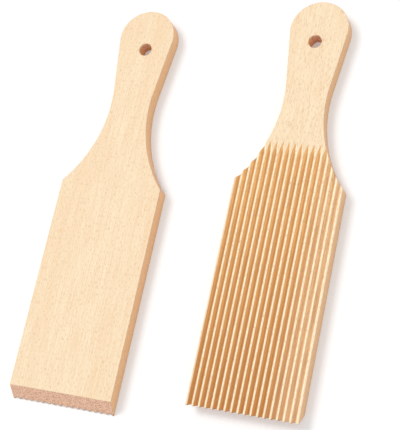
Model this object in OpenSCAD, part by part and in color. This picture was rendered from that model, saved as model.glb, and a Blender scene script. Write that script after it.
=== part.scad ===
// A pair of beech boards for rolling gnocchi, lying side by side.
// Each board is milled from one piece: a wide blade, grooved lengthwise on one face and plain on
// the other, and a slim handle with a hanging hole. One board lies ridges up, the other is turned over.

/* [Board] */
// Length of a board from the tip of its blade to the end of its handle
board_l = 250; // [240:1:280]
// Width of the blade
board_w = 65; // [55:1:80]
// Thickness of the wood
board_t = 9; // [7:0.5:14]
// Length of the blade from its tip to the shoulders
blade_l = 134; // [120:1:140]
// How far the tip is cut back at the plain face
bevel_run = 6.5; // [2:0.5:10]

/* [Handle] */
// Width of the handle at its narrowest place
neck_w = 25.5; // [20:0.5:30]
// Place of the narrowest part, as a share of the handle's length from the shoulders up
neck_share = 0.45; // [0.4:0.005:0.5]
// Diameter of the round handle end
head_d = 35.5; // [32:0.5:40]

/* [Hanging hole] */
// Diameter of the hole
hole_d = 8; // [5:0.5:12]
// Distance from the handle end to the middle of the hole
hole_from_end = 26; // [14:1:40]
// How far the hole is drilled beside the centre line
hole_off = 1; // [0:0.5:3]
// Chamfer round both rims of the hole
hole_chamfer = 0.3; // [0.1:0.1:1]

/* [Grooves] */
// Distance between neighbouring grooves
groove_pitch = 3.75; // [3:0.25:6]
// Depth of the grooves
groove_depth = 1.5; // [1:0.1:2.5]
// Width of the flat left on the crest between two grooves
crest_w = 0.35; // [0.2:0.05:1]
// Width of the flat at the root of a groove
root_w = 0.25; // [0.1:0.05:0.6]
// Narrowest strip left flat beside the outermost grooves
side_strip = 0.6; // [0.4:0.1:3]
// Distance from the shoulders to the pointed ends of the grooves
groove_reach = 25; // [15:1:35]
// Radius of the cutter that leaves the pointed ends
cutter_r = 28; // [15:1:50]

/* [Pair] */
// Gap between the sides of the two boards
pair_gap = 44; // [5:1:120]
// How far the turned-over board lies ahead of the other one
pair_step = 12; // [0:1:60]

/* [Hidden] */
$fn = 96;

// Overshoot of a cutter past the faces that it cuts
over = 1;

// The concave side of the handle runs through the shoulder corner and is upright at the narrowest place
waist_in = (board_w - neck_w) / 2;
neck_rise = neck_share * (board_l - blade_l);
waist_r = (neck_rise * neck_rise + waist_in * waist_in) / (2 * waist_in);
waist_x = neck_w / 2 + waist_r;
waist_y = blade_l + neck_rise;

// The flat flank of the handle touches the concave side and the round end
head_r = head_d / 2;
head_y = board_l - head_r;
centres_l = norm([waist_x, head_y - waist_y]);
flank_a = 180 - atan2(head_y - waist_y, waist_x) + acos((waist_r + head_r) / centres_l);
flank_n = [cos(flank_a), sin(flank_a)];
flank_low = [waist_x, waist_y] + waist_r * flank_n;
flank_high = [0, head_y] - head_r * flank_n;
flank_l = norm(flank_high - flank_low);

// The grooves share the blade's width evenly about the centre line
groove_w = groove_pitch - crest_w;
groove_n = floor((board_w - 2 * side_strip - groove_w) / groove_pitch) + 1;
groove_slope = (groove_w - root_w) / 2 / groove_depth;
runout_l = sqrt(cutter_r * cutter_r - (cutter_r - groove_depth) * (cutter_r - groove_depth));
groove_end_y = blade_l + groove_reach - runout_l;

// Places of the two boards about the middle of the pair
side_x = (board_w + pair_gap) / 2;
tip_y = -(board_l + pair_step) / 2;

// Cross-section of a bar, standing on z = 0
module bar_section(width) {
    translate([-width / 2, 0]) square([width, board_t]);
}

// Section of a side cutter: the wood stays where x is above 0
module side_cut_section(reach) {
    translate([-reach, -over]) square([reach, board_t + 2 * over]);
}

// Blade and handle as one bar, trimmed to straight lines from the shoulders to the round end
module blank() {
    intersection() {
        translate([0, flank_high[1], 0]) rotate([90, 0, 0])
            linear_extrude(flank_high[1]) bar_section(board_w);
        translate([0, 0, -over]) linear_extrude(board_t + 2 * over)
            polygon([
                [board_w / 2 + over, -over],
                [board_w / 2 + over, blade_l - over],
                [board_w / 2, blade_l],
                flank_high,
                [-flank_high[0], flank_high[1]],
                [-board_w / 2, blade_l],
                [-board_w / 2 - over, blade_l - over],
                [-board_w / 2 - over, -over]
            ]);
    }
}

// Round end of the handle
module handle_end() {
    translate([0, head_y, 0]) rotate_extrude()
        intersection() {
            bar_section(head_d);
            square([head_r, board_t]);
        }
}

// Cutter for the concave side of the handle at +x
module waist_cut() {
    translate([waist_x, waist_y, 0]) rotate_extrude($fn = 240)
        translate([waist_r, 0]) side_cut_section(waist_r);
}

// Cutter for the flat flank between the concave side and the round end at +x
module flank_cut() {
    translate([flank_low[0], flank_low[1], 0]) rotate([90, 0, flank_a])
        linear_extrude(flank_l) side_cut_section(board_w / 2);
}

// Wedge that bevels the tip: the ridged face stays full length, the plain face is cut back
module tip_cut() {
    back_per_mm = bevel_run / board_t;
    rotate([90, 0, 90]) linear_extrude(board_w + 2 * over, center = true)
        polygon([
            [-back_per_mm * over, board_t + over],
            [bevel_run + back_per_mm * over, -over],
            [-bevel_run - over, -over],
            [-bevel_run - over, board_t + over]
        ]);
}

// One groove: a V with a narrow flat root, run out upwards by a V-edged cutter wheel
module groove_cut() {
    rise = groove_depth + over;
    top_w = root_w / 2 + rise * groove_slope;
    translate([0, groove_end_y, board_t - groove_depth]) {
        rotate([90, 0, 0]) linear_extrude(groove_end_y + over)
            polygon([[-root_w / 2, 0], [root_w / 2, 0], [top_w, rise], [-top_w, rise]]);
        translate([0, 0, cutter_r]) rotate([0, 90, 0]) rotate_extrude()
            polygon([
                [0, -top_w],
                [cutter_r - rise, -top_w],
                [cutter_r, -root_w / 2],
                [cutter_r, root_w / 2],
                [cutter_r - rise, top_w],
                [0, top_w]
            ]);
    }
}

// Hanging hole with lightly chamfered rims
module hole_cut() {
    hole_r = hole_d / 2;
    flare_r = hole_r + hole_chamfer + over;
    translate([-hole_off, board_l - hole_from_end, 0]) rotate_extrude()
        polygon([
            [0, -over],
            [flare_r, -over],
            [hole_r, hole_chamfer],
            [hole_r, board_t - hole_chamfer],
            [flare_r, board_t + over],
            [0, board_t + over]
        ]);
}

// A whole board, tip at y = 0, plain face down on z = 0 and ridged face up
module board() {
    difference() {
        union() {
            blank();
            handle_end();
        }
        for (side = [0, 1]) mirror([side, 0, 0]) {
            waist_cut();
            flank_cut();
        }
        tip_cut();
        for (i = [0 : groove_n - 1])
            translate([(i - (groove_n - 1) / 2) * groove_pitch, 0, 0]) groove_cut();
        hole_cut();
    }
}

// Board that lies on its plain face and shows its ridges
module ridges_up_board() {
    color("burlywood")
        translate([side_x, tip_y + pair_step, 0]) board();
}

// Board turned over about its length, so that it lies on its ridges and shows its plain face
module ridges_down_board() {
    color("wheat")
        translate([-side_x, tip_y, board_t]) rotate([0, 180, 0]) board();
}

ridges_up_board();
ridges_down_board();
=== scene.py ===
import bpy
from mathutils import Matrix, Vector


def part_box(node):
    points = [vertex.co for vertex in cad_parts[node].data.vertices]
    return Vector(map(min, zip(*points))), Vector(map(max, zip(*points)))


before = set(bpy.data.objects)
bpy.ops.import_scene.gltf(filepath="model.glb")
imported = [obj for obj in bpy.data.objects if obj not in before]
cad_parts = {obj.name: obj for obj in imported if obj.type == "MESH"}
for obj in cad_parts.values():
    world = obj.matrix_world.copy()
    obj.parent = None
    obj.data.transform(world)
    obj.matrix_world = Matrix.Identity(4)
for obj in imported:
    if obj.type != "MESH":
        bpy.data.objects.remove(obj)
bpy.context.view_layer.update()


# The board with its ridges up
# One piece of steamed beech, sawn along the grain. Seventeen V grooves are milled along its blade
# and run out to points below the handle. The whole board is sanded and left untreated.
ridges_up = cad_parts["ridges_up_board"]
crests_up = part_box("ridges_up_board")[1][2]
groove_depth = 0.0015
edge_round = 0.0006
sanded_roughness = (0.52, 0.68)
sanded_specular = 0.3
grain_relief = 0.0002
face_cream = (0.885, 0.725, 0.51, 1)
face_honey = (0.85, 0.62, 0.40, 1)
fleck_brown = (0.60, 0.34, 0.17, 1)
end_grain_pale = (0.93, 0.60, 0.42, 1)
end_grain_dark = (0.62, 0.34, 0.22, 1)
side_tan_and_shade = (0.95, 0.56, 0.29, 1)
groove_lit = (0.95, 0.90, 0.66, 1)
groove_orange = (1.0, 0.57, 0.22, 1)
groove_brown_and_shade = (0.67, 0.28, 0.075, 1)
root_shade_and_grain = (0.46, 0.19, 0.055, 1)
groove_pale = (0.93, 0.66, 0.42, 1)
# How many bands, lines, dashes or pores fit in a metre along x, y and z
band_count = (90, 5, 60)
line_count = (1500, 45, 900)
fleck_count = (2600, 420, 2600)
pore_count = (1300, 1300, 1300)
# The grooves get browner between these places along y, from the handle side towards the tip, partly
# as painted shade, and paler between these places along x
browner_and_shaded_y = (0.03, -0.12)
paler_x = (0.064, 0.084)


def add_node(tree, kind, **settings):
    node = tree.nodes.new(kind)
    for name, value in settings.items():
        setattr(node, name, value)
    return node


def feed(tree, sockets, values):
    """Links a value that comes from another node, and sets a plain one."""
    for socket, value in zip(sockets, values):
        if isinstance(value, bpy.types.NodeSocket):
            tree.links.new(value, socket)
        else:
            socket.default_value = value


def blend_colour(tree, amount, first, second):
    mix = add_node(tree, "ShaderNodeMix", data_type="RGBA")
    feed(tree, (mix.inputs[0], mix.inputs[6], mix.inputs[7]), (amount, first, second))
    return mix.outputs[2]


def number(tree, operation, *values):
    node = add_node(tree, "ShaderNodeMath", operation=operation)
    feed(tree, node.inputs, values)
    return node.outputs[0]


def fade(tree, value, low, high, most=1.0):
    """Rises smoothly from 0 where the value is low to most where it is high."""
    node = add_node(tree, "ShaderNodeMapRange", interpolation_type="SMOOTHSTEP")
    feed(tree, node.inputs, (value, low, high, 0.0, most))
    return node.outputs[0]


def ramp(tree, value, low, high, first=0.0, last=1.0):
    node = add_node(tree, "ShaderNodeMapRange")
    feed(tree, node.inputs, (value, low, high, first, last))
    return node.outputs[0]


def streaks(tree, place, count, detail, shift):
    """Noise drawn out along the grain, shifted so that no two boards have the same figure."""
    mapping = add_node(tree, "ShaderNodeMapping")
    feed(tree, (mapping.inputs["Vector"], mapping.inputs["Scale"]), (place, count))
    mapping.inputs["Location"].default_value = (shift, shift, shift)
    noise = add_node(tree, "ShaderNodeTexNoise")
    tree.links.new(mapping.outputs[0], noise.inputs["Vector"])
    noise.inputs["Scale"].default_value = 1.0
    noise.inputs["Detail"].default_value = detail
    return noise.outputs[0]


def beech(name, shift, crest_height):
    """Sanded beech with its grain along y, and grooves milled in from the height of their crests."""
    wood = bpy.data.materials.new(name)
    wood.use_nodes = True
    tree = wood.node_tree
    shader = tree.nodes["Principled BSDF"]
    coordinates = add_node(tree, "ShaderNodeTexCoord")
    place = coordinates.outputs["Object"]
    spot = add_node(tree, "ShaderNodeSeparateXYZ")
    tree.links.new(place, spot.inputs[0])
    facing = add_node(tree, "ShaderNodeSeparateXYZ")
    tree.links.new(coordinates.outputs["Normal"], facing.inputs[0])
    along = number(tree, "ABSOLUTE", facing.outputs[1])
    upward = number(tree, "ABSOLUTE", facing.outputs[2])

    # Sanded faces: broad bands and fine lines along the grain
    bands = streaks(tree, place, band_count, 2.0, shift)
    lines = streaks(tree, place, line_count, 4.0, shift)
    colour = blend_colour(tree, fade(tree, bands, 0.4, 0.8, 0.6), face_cream, face_honey)
    colour = blend_colour(tree, fade(tree, lines, 0.42, 0.62, 0.7), colour, face_honey)

    # Grooves: depth is 0 on the crests and 1 at the roots. The flanks that face left are painted
    # paler, as the light makes them look in the photograph
    below_crest = number(tree, "ABSOLUTE", number(tree, "SUBTRACT", spot.outputs[2], crest_height))
    depth = number(tree, "DIVIDE", below_crest, groove_depth)
    grooved = number(tree, "MULTIPLY", fade(tree, upward, 0.3, 0.5), fade(tree, along, 0.4, 0.3))
    grooved = number(tree, "MULTIPLY", grooved, fade(tree, depth, 0.0, 0.06))
    grooved = number(tree, "MULTIPLY", grooved, number(tree, "LESS_THAN", depth, 1.1))
    # The groove flanks are orange, browner towards the tip: partly the milled wood, partly painted
    # shade
    flank = blend_colour(tree, ramp(tree, spot.outputs[1], *browner_and_shaded_y), groove_orange, groove_brown_and_shade)
    # Painted shade: the flanks get darker towards the roots of the grooves; the same dark colour also
    # draws grain lines on them below
    flank = blend_colour(tree, fade(tree, depth, 0.4, 1.0, 0.6), flank, root_shade_and_grain)
    flank = blend_colour(tree, fade(tree, spot.outputs[0], *paler_x, 0.6), flank, groove_pale)
    flank = blend_colour(tree, fade(tree, lines, 0.45, 0.62, 0.35), flank, root_shade_and_grain)
    leftward = fade(tree, facing.outputs[0], -0.2, -0.5)
    leftward = number(tree, "MULTIPLY", leftward, fade(tree, depth, 0.95, 0.45))
    flank = blend_colour(tree, leftward, flank, groove_lit)
    colour = blend_colour(tree, grooved, colour, flank)

    # Sawn sides, painted a darker tan that is partly their own side grain and partly painted shade,
    # then short dark flecks everywhere, more of them in the grooves
    colour = blend_colour(tree, fade(tree, upward, 0.5, 0.2, 0.9), colour, side_tan_and_shade)
    flecks = fade(tree, streaks(tree, place, fleck_count, 1.0, shift), 0.54, 0.68)
    fleck_strength = number(tree, "MULTIPLY_ADD", grooved, 0.3, 0.42)
    flecks = number(tree, "MULTIPLY", flecks, fleck_strength)
    colour = blend_colour(tree, flecks, colour, fleck_brown)

    # End grain, where the surface cuts across the fibres
    pores = fade(tree, streaks(tree, place, pore_count, 3.0, shift), 0.42, 0.62)
    end_wood = blend_colour(tree, pores, end_grain_pale, end_grain_dark)
    colour = blend_colour(tree, fade(tree, along, 0.45, 0.7), colour, end_wood)
    tree.links.new(colour, shader.inputs["Base Color"])

    tree.links.new(ramp(tree, lines, 0.0, 1.0, *sanded_roughness), shader.inputs["Roughness"])
    shader.inputs["Specular IOR Level"].default_value = sanded_specular

    # Edges eased with sandpaper, and a slight relief of the grain
    eased = add_node(tree, "ShaderNodeBevel", samples=4)
    eased.inputs["Radius"].default_value = edge_round
    relief = add_node(tree, "ShaderNodeBump")
    relief.inputs["Strength"].default_value = 0.25
    relief.inputs["Distance"].default_value = grain_relief
    tree.links.new(lines, relief.inputs["Height"])
    tree.links.new(eased.outputs[0], relief.inputs["Normal"])
    tree.links.new(relief.outputs[0], shader.inputs["Normal"])
    return wood


def finish_in(board, wood):
    board.data.materials.clear()
    board.data.materials.append(wood)


finish_in(ridges_up, beech("beech_ridged", 0.0, crests_up))


# The board that is turned over
# The same board again, lying on its ridges, so that its plain sanded back is on top. The bevel across
# its tip cuts the fibres, which show there as pinkish pores, and the grooves notch its lower edge.
ridges_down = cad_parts["ridges_down_board"]
crests_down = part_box("ridges_down_board")[0][2]
figure_shift = 3.7
finish_in(ridges_down, beech("beech_plain", figure_shift, crests_down))


# The floor
# A matt white sheet that runs past the view on all sides. It shows white to the lens and keeps the
# soft shadows of the boards.
floor_half = 3.0
floor_drop = 0.0002
floor_white = (0.78, 0.78, 0.79, 1)
floor_glow = 0.20
floor_mesh = bpy.data.meshes.new("floor")
floor_corners = [(x * floor_half, y * floor_half, 0) for x, y in ((-1, -1), (1, -1), (1, 1), (-1, 1))]
floor_mesh.from_pydata(floor_corners, [], [(0, 1, 2, 3)])
floor = bpy.data.objects.new("floor", floor_mesh)
floor.location.z = -floor_drop
bpy.context.scene.collection.objects.link(floor)
paper = bpy.data.materials.new("white_paper")
paper.use_nodes = True
paper_tree = paper.node_tree
paper_tree.nodes.clear()
matt = add_node(paper_tree, "ShaderNodeBsdfDiffuse")
matt.inputs["Color"].default_value = floor_white
ray = add_node(paper_tree, "ShaderNodeLightPath")
seen = number(paper_tree, "MAXIMUM", ray.outputs["Is Camera Ray"], ray.outputs["Is Glossy Ray"])
seen = number(paper_tree, "MAXIMUM", seen, ray.outputs["Is Transmission Ray"])
glow = add_node(paper_tree, "ShaderNodeEmission")
paper_tree.links.new(number(paper_tree, "MULTIPLY", seen, floor_glow), glow.inputs["Strength"])
both = add_node(paper_tree, "ShaderNodeAddShader")
feed(paper_tree, both.inputs, (matt.outputs[0], glow.outputs[0]))
paper_out = add_node(paper_tree, "ShaderNodeOutputMaterial")
paper_tree.links.new(both.outputs[0], paper_out.inputs[0])
floor_mesh.materials.append(paper)


# The light
# A white room for the fill, and one soft lamp from the upper left that shades the right-hand flanks
# of the ridges.
room_white = (1, 1, 1, 1)
room_strength = 0.75
lamp_from = Vector((-0.50, 0.30, 0.85))
lamp_strength = 1.4
lamp_softness = 0.45
lamp_white = (1.0, 0.985, 0.96)
world = bpy.data.worlds.new("white_room")
world.use_nodes = True
room = world.node_tree.nodes["Background"]
room.inputs["Color"].default_value = room_white
room.inputs["Strength"].default_value = room_strength
bpy.context.scene.world = world
lamp_data = bpy.data.lights.new("soft_lamp", "SUN")
lamp_data.energy = lamp_strength
lamp_data.angle = lamp_softness
lamp_data.color = lamp_white
lamp = bpy.data.objects.new("soft_lamp", lamp_data)
lamp.rotation_euler = lamp_from.to_track_quat("Z", "Y").to_euler()
bpy.context.scene.collection.objects.link(lamp)


# The camera
# It stands to the lower right of the pair and looks down on it, turned a little on its own axis, so
# that both boards lean to the right as in the photograph.
eye = Vector((0.2517, -0.1962, 0.6297))
looks_at = Vector((0.0025, -0.0068, 0.0))
picture_up = Vector((-0.1056, 0.9399, 0.3246))
sensor_height = 24.0
# Focal length as a share of the picture's height
focal_share = 2.7813
camera_data = bpy.data.cameras.new("camera")
camera_data.sensor_fit = "VERTICAL"
camera_data.sensor_height = sensor_height
camera_data.lens = focal_share * sensor_height
camera_data.clip_start = 0.01
camera = bpy.data.objects.new("camera", camera_data)
back = (eye - looks_at).normalized()
right = picture_up.cross(back).normalized()
turn = Matrix((right, back.cross(right), back)).transposed().to_4x4()
camera.matrix_world = Matrix.Translation(eye) @ turn
bpy.context.scene.collection.objects.link(camera)
bpy.context.scene.camera = camera
bpy.context.scene.view_settings.view_transform = "Standard"
